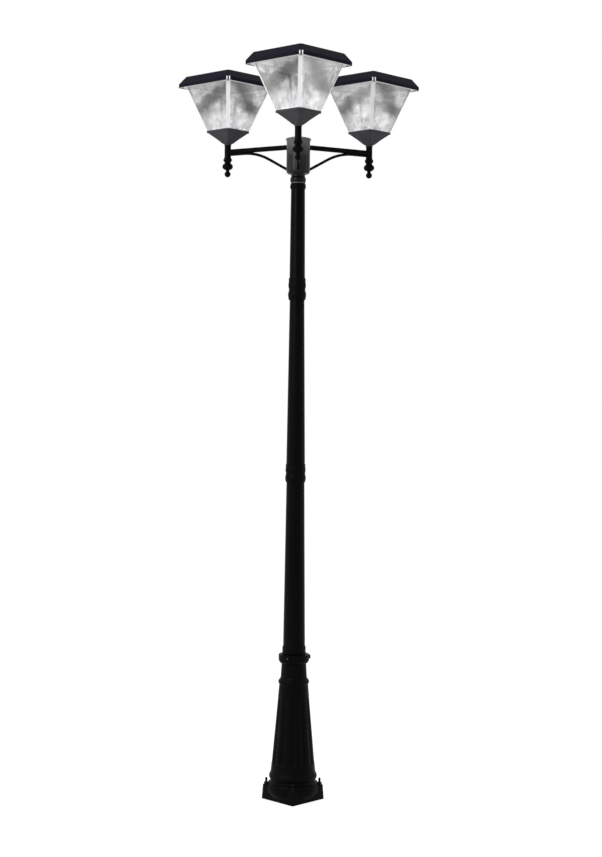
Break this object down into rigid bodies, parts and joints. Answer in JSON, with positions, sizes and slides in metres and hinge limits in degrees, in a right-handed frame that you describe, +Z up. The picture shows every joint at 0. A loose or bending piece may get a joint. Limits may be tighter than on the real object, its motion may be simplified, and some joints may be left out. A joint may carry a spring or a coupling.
{
  "type": "lamp post",
  "caption": "Garden lamp post: tapered black pole on a bell-shaped base, a round hub with braced arms, and square solar lamp heads with sloping clear shades.",
  "frame": {"origin": "on the ground under the pole's axis, at the centre of the anchor bolts", "axes": "+Z up along the pole; -Y towards the front of the picture, where one arm points; +X to the right in the picture"},
  "size_m": [0.7876, 0.7254, 2.33],
  "materials": {
    "black_casting": "satin black paint over a casting",
    "black_tube": "satin black powder coat over steel tube",
    "hub_paint": "satin dark grey",
    "plain_steel": "plain zinc-plated steel",
    "bright_screw": "bright zinc-plated steel",
    "cap_plastic": "fine matt black, slightly violet",
    "chassis_plastic": "matt off-white, to reflect light downwards",
    "panel_glass": "dark blue cells behind a clear sheet",
    "battery_sleeve": "shrunk-on blue sleeve",
    "circuit_board": "green solder mask",
    "led_board": "white solder mask over aluminium",
    "clear_shade": "clear moulded plastic, lightly smoked",
    "reflector_silver": "bright metallised plastic",
    "tray_paint": "satin charcoal, slightly violet",
    "button_rubber": "matt black rubber"
  },
  "bodies": {
    "post": {"base_casting": "black_casting", "base_clamp_screws": "black_casting", "pole_collar": "black_casting", "lower_pole": "black_tube", "lower_coupling": "black_casting", "lower_nipple": "plain_steel", "middle_pole": "black_tube", "upper_coupling": "black_casting", "upper_nipple": "plain_steel", "upper_pole": "black_tube", "pole_top_ring": "black_casting", "hub": "hub_paint", "hub_lid": "hub_paint", "arm_bolts": "bright_screw", "front_arm": "black_casting", "front_stem": "black_casting", "front_drop": "black_casting", "right_arm": "black_casting", "right_stem": "black_casting", "right_drop": "black_casting", "left_arm": "black_casting", "left_stem": "black_casting", "left_drop": "black_casting"},
    "front_head": {"front_cap": "cap_plastic", "front_solar_panel": "panel_glass", "front_chassis": "chassis_plastic", "front_battery": "battery_sleeve", "front_control_board": "circuit_board", "front_led_board": "led_board", "front_shade": "clear_shade", "front_reflector": "reflector_silver", "front_tray": "tray_paint", "front_cap_screws": "bright_screw", "front_grub_screws": "bright_screw"},
    "front_button": {"front_switch_button": "button_rubber"},
    "right_head": {"right_cap": "cap_plastic", "right_solar_panel": "panel_glass", "right_chassis": "chassis_plastic", "right_battery": "battery_sleeve", "right_control_board": "circuit_board", "right_led_board": "led_board", "right_shade": "clear_shade", "right_reflector": "reflector_silver", "right_tray": "tray_paint", "right_cap_screws": "bright_screw", "right_grub_screws": "bright_screw"},
    "right_button": {"right_switch_button": "button_rubber"},
    "left_head": {"left_cap": "cap_plastic", "left_solar_panel": "panel_glass", "left_chassis": "chassis_plastic", "left_battery": "battery_sleeve", "left_control_board": "circuit_board", "left_led_board": "led_board", "left_shade": "clear_shade", "left_reflector": "reflector_silver", "left_tray": "tray_paint", "left_cap_screws": "bright_screw", "left_grub_screws": "bright_screw"},
    "left_button": {"left_switch_button": "button_rubber"}
  },
  "joints": [
    {"name": "front_head_swivel", "type": "hinge", "parent": "post", "child": "front_head", "pos_m": [0, -0.268, 2.1], "axis": [0, 0, 1], "continuous": true},
    {"name": "front_switch_press", "type": "slide", "parent": "front_head", "child": "front_button", "axis": [0, 0, 1], "range_m": [0, 0.0015], "stiffness_N_per_m": 300, "springref_m": -0.001},
    {"name": "right_head_swivel", "type": "hinge", "parent": "post", "child": "right_head", "pos_m": [0.23209, 0.134, 2.1], "axis": [0, 0, 1], "continuous": true},
    {"name": "right_switch_press", "type": "slide", "parent": "right_head", "child": "right_button", "axis": [0, 0, 1], "range_m": [0, 0.0015], "stiffness_N_per_m": 300, "springref_m": -0.001},
    {"name": "left_head_swivel", "type": "hinge", "parent": "post", "child": "left_head", "pos_m": [-0.23209, 0.134, 2.1], "axis": [0, 0, 1], "continuous": true},
    {"name": "left_switch_press", "type": "slide", "parent": "left_head", "child": "left_button", "axis": [0, 0, 1], "range_m": [0, 0.0015], "stiffness_N_per_m": 300, "springref_m": -0.001}
  ]
}
